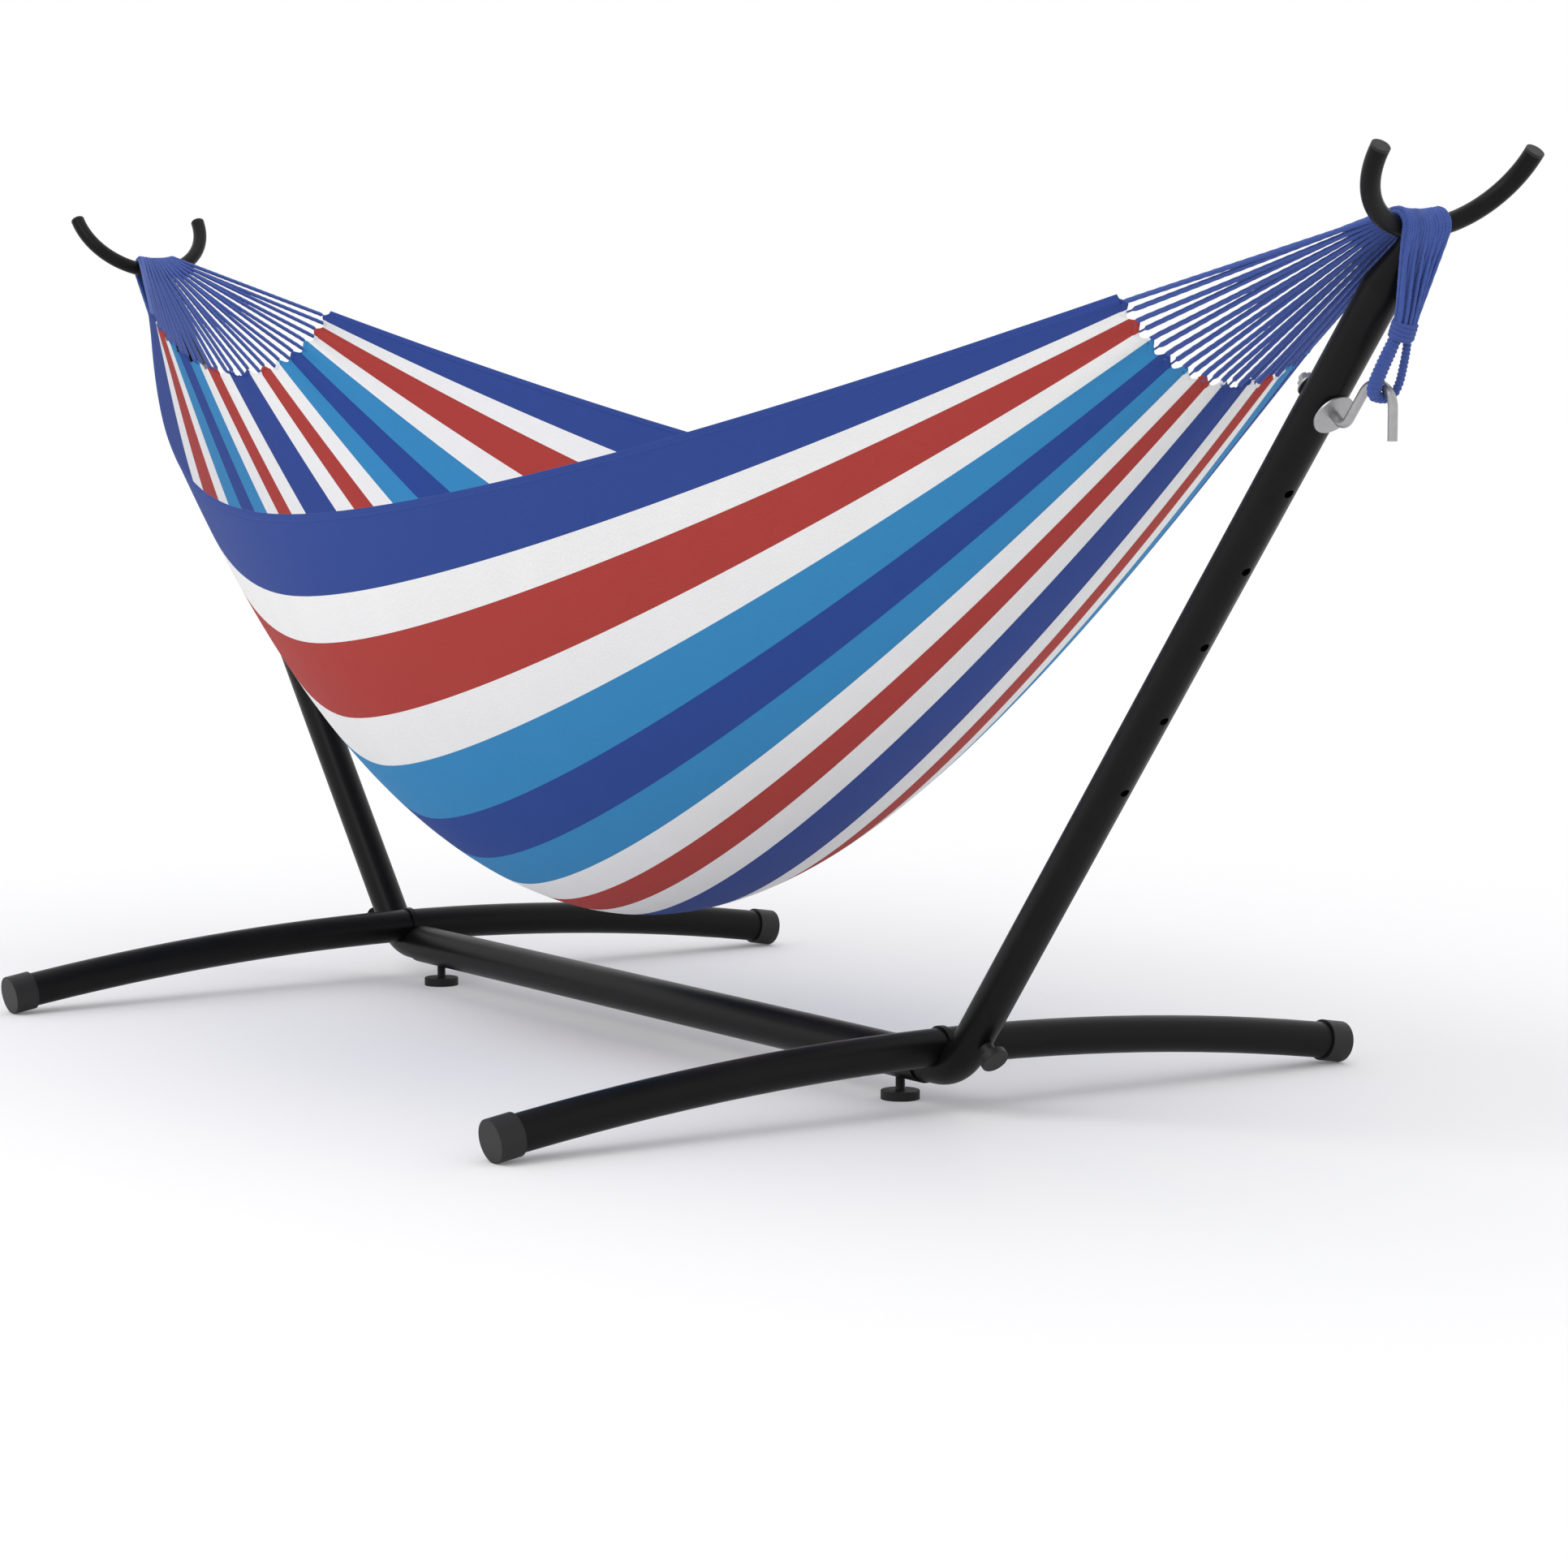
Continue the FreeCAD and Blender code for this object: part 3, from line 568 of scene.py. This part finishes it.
CASING_HALF_WIDE, CASING_HALF_THICK = (0.0015, 0.0044), (0.0011, 0.0026)     # in a hollow, at a tab
CASING_RIM = 0.0008          # how far a casing stands out past the cloth's end
CASING_PAST, CASING_FADE = 0.10, 0.16      # it is thin this far past a tab, fading over this much


def end_casings():
    """The bed's ends, folded round the cords: thick across each tab and thin in the hollows."""
    made = []
    ring = round_ring(RIBBON_SIDES)
    for side_name, side in SIDES.items():
        line, behind, run, radii, uvs = [], [], [], [], []
        for across in thread_positions():
            fullness = (TAB_SHARE + CASING_PAST - tab_phase(across)) / CASING_FADE
            tab = min(1.0, max(0.0, fullness))
            half_wide, half_thick = (
                thin + (full - thin) * tab for thin, full in (CASING_HALF_WIDE, CASING_HALF_THICK)
            )
            share = end_share(across) - (half_wide - CASING_RIM) / END_SPEED
            line.append(bed_point(across, share * side))
            behind.append(bed_point(across, (share - 0.004) * side))
            run.append(thread(across, side))
            radii.append((half_wide, half_thick))
            place = (side * share + 1) / 2 * FLAT[1]
            uvs += [(place + half_wide * x, (across + 1) / 2 * FLAT[0]) for x, _ in ring]
        towards = [b - a for a, b in zip(behind, line)]
        name = f"end_casing_{side_name}"
        made.append(ribbon(name, line, towards, radii, CLOTH, "hammock", uvs, run))
    return made


# ---------------------------------------------------------------- the cords
WHIPPING_ROWS = (3, 5, 6, 6, 5, 3)      # how many cords lie in each row inside the whipping


def whipping_places():
    """Where each of the 28 cord ends lies in the whipping: (across, deep) from its middle."""
    places = []
    pitch = 2 * CORD_IN_WHIPPING
    for row, count in enumerate(WHIPPING_ROWS):
        across = (row - (len(WHIPPING_ROWS) - 1) / 2) * pitch
        places += [(across, (k - (count - 1) / 2) * pitch) for k in range(count)]
    return places


LEG_PLACE, TURN_PLACE = 0.90, 0.88        # where in half a tab a leg arrives, and where it turns
TURN_DEPTH = 0.0030          # how deep in the tab a cord turns, as a share of the thread
ROUND_ROD = 4                # control points over the rod
LAYERS = (1.1, 2.6)          # how far off the rod even and odd legs lie, in cord radii
COLUMN_SCATTER, LAYER_SCATTER = 0.0003, 0.0004
LEG_STRAIGHT, LEG_TIP = 0.030, 0.003       # a leg's last control points, this far from its end


def leg_route(across, index):
    """Control points of one leg of a cord, from inside the whipping, over the rod, to the bed."""
    column = (index - (2 * TABS - 1) / 2) * COLUMN
    column += random.uniform(-COLUMN_SCATTER, COLUMN_SCATTER)
    turn = math.asin(column / CRADLE_BEND)
    rod = ROD + ACROSS * column + ALONG * (CRADLE_BEND * (1 - math.cos(turn)))
    radius = ROD_RADIUS + CORD_RADIUS * LAYERS[index % 2] + random.uniform(0, LAYER_SCATTER)
    wide, deep = whipping_places()[index]
    top = WHIPPING_TOP + ACROSS * wide + EYE_SIDE * deep
    bottom = top - EYE_LEAN * (WHIPPING_LENGTH * 0.8)
    down = top - rod
    leave = math.atan2(down.z, down.x) + math.acos(radius / math.hypot(down.x, down.z))
    bed_end = Vector(thread(across, tab_share(across)))
    back = rod - bed_end
    arrive = (
        math.atan2(back.z, back.x) + math.asin(radius / math.hypot(back.x, back.z)) + math.pi / 2
    )

    def round_rod(angle, out=1.0):
        return rod + Vector((math.cos(angle), 0, math.sin(angle))) * (radius * out)

    step = (arrive - leave) / ROUND_ROD
    over = [
        round_rod(leave + step * (k + 0.5), 1 / math.cos(step / 2)) for k in range(ROUND_ROD)
    ]
    touch_out, touch_in = round_rod(leave), round_rod(arrive)
    return [
        bottom,
        top + (top - bottom) * 0.15,
        touch_out.lerp(top, 0.55),
        touch_out.lerp(top, 0.08),
        *over,
        touch_in.lerp(bed_end, 0.03),
        touch_in.lerp(bed_end, 0.50),
        touch_in.lerp(bed_end, 1 - LEG_STRAIGHT / (touch_in - bed_end).length),
        touch_in.lerp(bed_end, 1 - LEG_TIP / (touch_in - bed_end).length),
    ]


def cord_radii(reach):
    """A cord's radius along it: squeezed at both ends by the whipping, half way by the casing."""
    half = 0.5 * reach[-1]
    places = np.array([0, 0.025, 0.110, half - 0.0120, half - 0.0100])
    radii = np.array([CORD_IN_WHIPPING, CORD_IN_WHIPPING, CORD_RADIUS, CORD_RADIUS, CORD_IN_CASING])
    return np.interp(np.minimum(reach, reach[-1] - reach), places, radii)


ROPE_SIDES, ROPE_PITCH, ROPE_STEP = 10, 0.013, 0.0025
ROPE_STRANDS, STRAND_RELIEF = 3, 0.05      # how many lobes a section has, and how high they are


def rope_mesh(name, line, material, side):
    """A laid cord: its section has three soft lobes that wind along it."""
    across, ups = transported(line, ACROSS)
    reach = reach_along(line)
    ring = round_ring(ROPE_SIDES)
    angles = np.arange(ROPE_SIDES) * 2 * math.pi / ROPE_SIDES
    turns = 2 * math.pi * reach / ROPE_PITCH
    rings = [
        ring * (1 + STRAND_RELIEF * np.cos(ROPE_STRANDS * angles - turn))[:, None]
        for turn in turns
    ]
    points, faces = swept(line, across, ups, [(r, r) for r in cord_radii(reach)], rings)
    uvs = [(mark, k / ROPE_SIDES) for mark in reach for k in range(ROPE_SIDES)]
    return mesh_object(name, points, faces, material, uvs, side)


def suspension_cords():
    """One cord through each tab of the bed's ends; its two legs go over the rod to the whipping."""
    half_tab = TAB_SHARE / TABS
    for side_name, side in SIDES.items():
        for tab in range(TABS):
            across = 2 * (tab + 0.5) / TABS - 1
            first = leg_route(across - half_tab * LEG_PLACE, 2 * tab)
            second = leg_route(across + half_tab * LEG_PLACE, 2 * tab + 1)
            places = [across - half_tab * TURN_PLACE, across + half_tab * TURN_PLACE]
            depths = [tab_share(place) - TURN_DEPTH for place in places]
            corners = [
                Vector((bed_point(place, depth) + thread(place, depth)) / 2)
                for place, depth in zip(places, depths)
            ]
            line = spaced(nurbs_line([*first, *corners, *reversed(second)]), ROPE_STEP)
            name = f"cord_{side_name}_{tab + 1:02d}"
            obj = rope_mesh(name, line, CORD, side)
            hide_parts(f"suspension_cords_{side_name}", f"cord_bundle_{side_name}")
            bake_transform(obj)


# ---------------------------------------------------------------- whipping and eye
TURN_RELIEF = 0.0013         # how far a turn of the whipping stands out
RIM_DROP, RIM_REACH = 0.0016, 0.0015       # how the collar's two rims are rounded off
FLATTENED = 0.93             # the collar's depth as a share of its width


def whipping():
    """Close turns of thin cord round the bundle: a ridged collar."""
    turns, per_turn, sides = 5, 10, 40
    pitch = WHIPPING_LENGTH / turns
    count = turns * per_turn + 1
    angles = np.arange(sides) * 2 * math.pi / sides
    for side_name, side in SIDES.items():
        points, uvs = [], []
        for row in range(count):
            for index, angle in enumerate(angles):
                lead = pitch * index / sides
                wound = row / (count - 1) * (WHIPPING_LENGTH + pitch)
                depth = max(0.0, min(WHIPPING_LENGTH, wound - lead))
                phase = (row / per_turn) % 1
                swell = math.sqrt(max(0.0, 1 - (2 * phase - 1) ** 2))
                edge = min(1.0, min(depth, WHIPPING_LENGTH - depth) / RIM_REACH)
                radius = WHIPPING_RADIUS - TURN_RELIEF * (1 - swell) - RIM_DROP * (1 - edge)
                wide, deep = radius * math.cos(angle), radius * FLATTENED * math.sin(angle)
                points.append(WHIPPING_TOP - EYE_LEAN * depth + ACROSS * wide + EYE_SIDE * deep)
                uvs.append((angle * radius, depth / pitch))
        faces = grid_faces(count, sides, closed=True)
        obj = mesh_object(f"whipping_cord_{side_name}", points, faces, WRAP, uvs, side)
        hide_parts(f"whipping_{side_name}")
        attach(obj, "stand")


def eye_line():
    """The middle of the eye's strand: down the broad front strand, under, and up the rear one."""
    base = WHIPPING_TOP - EYE_LEAN * (WHIPPING_LENGTH - 0.004)
    drop = (base - EYE_LOW).length
    route = [(-0.0062, 0.0), (-0.0085, 0.20), (-0.0125, 0.50), (-0.0150, 0.78), (-0.0125, 0.96)]
    route += [(0.0010, 1.015), (0.0125, 0.985), (0.0172, 0.80)]
    route += [(0.0152, 0.50), (0.0122, 0.20), (0.0088, 0)]
    return nurbs_line([base + ACROSS * wide - EYE_LEAN * (drop * down) for wide, down in route])


EYE_PITCH, EYE_RELIEF, EYE_SIDES = 0.0046, 0.0011, 24


def eye():
    """The eye on the hook: a ring of cord wrapped with close half hitches."""
    line = spaced(eye_line(), 0.0005)
    sides, ups = transported(line, ACROSS)
    reach = reach_along(line)
    share = reach / reach[-1]
    ridge = EYE_RELIEF * (1 - np.abs(np.sin(math.pi * reach / EYE_PITCH)))
    wide = np.interp(
        share,
        (0, 0.12, 0.36, 0.46, 0.54, 0.64, 1),
        (0.0075, 0.0088, 0.0094, 0.0060, 0.0054, 0.0046, 0.0042),
    )
    deep = np.interp(share, (0, 0.35, 0.5, 0.65, 1), (0.0054, 0.0056, 0.0052, 0.0044, 0.0044))
    radii = list(zip(wide - ridge, deep - ridge))
    points, faces = swept(line, sides, ups, radii, [round_ring(EYE_SIDES)] * len(line))
    uvs = [(k / EYE_SIDES * 0.03, mark / EYE_PITCH) for mark in reach for k in range(EYE_SIDES)]
    for side_name, side in SIDES.items():
        obj = mesh_object(f"wrapped_eye_{side_name}", points, faces, WRAP, uvs, side)
        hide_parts(f"eye_loop_{side_name}")
        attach(obj, "stand")


# ---------------------------------------------------------------- screw threads
def threaded_rod(base, length, radius, pitch):
    """Points and faces of an upright rod with a real screw thread and chamfered ends."""
    across = UP.orthogonal().normalized()
    other = UP.cross(across)
    sides, per_turn = 24, 6
    count = int(length / pitch * per_turn) + 1
    deepest = 0.6 * pitch
    points = []
    for row in range(count):
        depth = row / (count - 1) * length
        chamfer = max(0.0, 1 - min(depth, length - depth) / (0.8 * pitch)) * deepest
        for index in range(sides):
            angle = 2 * math.pi * index / sides
            phase = (depth / pitch + index / sides) % 1
            groove = deepest * (1 - abs(2 * phase - 1))
            outward = across * math.cos(angle) + other * math.sin(angle)
            points.append(base + UP * depth + outward * (radius - max(groove, chamfer)))
    faces = grid_faces(count, sides, closed=True)
    faces += [tuple(range(sides))[::-1], tuple(range((count - 1) * sides, count * sides))]
    return points, faces


def levelling_threads():
    base = Vector((PAD_OFFSET, 0, PAD_HEIGHT))
    points, faces = threaded_rod(base, STEM_TOP - PAD_HEIGHT, STEM_RADIUS, STEM_PITCH)
    for side_name, side in SIDES.items():
        obj = mesh_object(f"levelling_screw_{side_name}", points, faces, PLASTIC, None, side)
        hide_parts(f"levelling_stem_{side_name}")
        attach(obj, f"levelling_foot_{side_name}")


# ---------------------------------------------------------------- welds
WELD_RADIUS, WELD_RIPPLE = 0.0019, 0.0004


def weld_beads():
    """A rippled weld where the post's neck meets the cradle rod."""
    steps, per_ripple, sides_round = 96, 4, 10
    for side_name, side in SIDES.items():
        line = []
        for step in range(steps + 1):
            angle = 2 * math.pi * step / steps
            wide, out = NECK_RADIUS * math.cos(angle), NECK_RADIUS * math.sin(angle)
            lift = CRADLE_BEND - math.sqrt(CRADLE_BEND**2 - wide**2)
            depth = math.sqrt(max(0.0, ROD_RADIUS**2 - min(abs(out), ROD_RADIUS) ** 2))
            line.append(ROD + ACROSS * wide + OUTWARD * out + ALONG * (lift - depth))
        line = np.array(line)
        sides, ups = transported(line, ALONG)
        phases = [2 * math.pi * step / per_ripple for step in range(steps + 1)]
        radii = [(WELD_RADIUS + WELD_RIPPLE * math.sin(phase),) * 2 for phase in phases]
        rings = [round_ring(sides_round)] * len(line)
        points, faces = swept(line, sides, ups, radii, rings, caps=False)
        obj = mesh_object(f"cradle_weld_{side_name}", points, faces, BLACK, None, side)
        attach(obj, "stand")


# ---------------------------------------------------------------- stage
def floor():
    """A pale floor that fades to white far from the object."""
    lit_share = 0.92         # how much of the near floor's tone comes from the lights
    n = Nodes("pale_floor")
    place = n.add("ShaderNodeTexCoord").outputs["Object"]
    distance = n.add("ShaderNodeVectorMath", {"operation": "LENGTH"})
    n.feed(distance, "0", place)
    far = n.span(distance.outputs["Value"], 0.0, 1.0, 1.6, 3.4)
    near = n.math("SUBTRACT", 1.0, far)
    n.set(Base_Color=n.tinted((0.80, 0.80, 0.81), near), Roughness=0.85)
    own_light = n.math("SUBTRACT", 1.0, n.math("MULTIPLY", near, lit_share))
    n.set(Emission_Color=(1, 1, 1, 1), Emission_Strength=own_light)
    n.shader.inputs["Specular IOR Level"].default_value = 0.1
    mesh = bpy.data.meshes.new("floor")
    reach = 30.0
    corners = [(-reach, -reach, 0), (reach, -reach, 0), (reach, reach, 0), (-reach, reach, 0)]
    mesh.from_pydata(corners, [], [(0, 1, 2, 3)])
    mesh.materials.append(n.material)
    obj = bpy.data.objects.new("floor", mesh)
    bpy.context.scene.collection.objects.link(obj)


def area_light(name, place, target, size, power):
    light = bpy.data.lights.new(name, "AREA")
    light.shape, light.size, light.energy = "DISK", size, power
    obj = bpy.data.objects.new(name, light)
    obj.location = place
    obj.rotation_euler = (Vector(target) - Vector(place)).to_track_quat("-Z", "Y").to_euler()
    bpy.context.scene.collection.objects.link(obj)


def studio():
    scene = bpy.context.scene
    scene.view_settings.view_transform = "Standard"
    world = bpy.data.worlds.new("studio")
    world.use_nodes = True
    world.node_tree.nodes["Background"].inputs["Color"].default_value = (1, 1, 1, 1)
    world.node_tree.nodes["Background"].inputs["Strength"].default_value = 1.0
    scene.world = world
    area_light("key", (0.5, -3.5, 4.5), (0, 0, 0.4), 3.5, 62)
    area_light("top", (-0.5, 1.0, 5.0), (0, 0, 0.3), 4.0, 22)


def camera():
    """At the angle from which the stand is seen: low, from the front right."""
    data = bpy.data.cameras.new("camera")
    data.sensor_width, data.lens = 36.0, 98.89
    obj = bpy.data.objects.new("camera", data)
    obj.location = (4.5806, -2.8763, 0.8707)
    obj.rotation_euler = (math.radians(84.21), 0, math.radians(56.10))
    bpy.context.scene.collection.objects.link(obj)
    bpy.context.scene.camera = obj


# ---------------------------------------------------------------- the whole
camera()
studio()
floor()
paint_cad_nodes()
suspension_cords()
cloth = bed()
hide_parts("hammock_bed")
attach(cloth, "hammock")
hems() + end_casings()
whipping()
eye()
levelling_threads()
weld_beads()
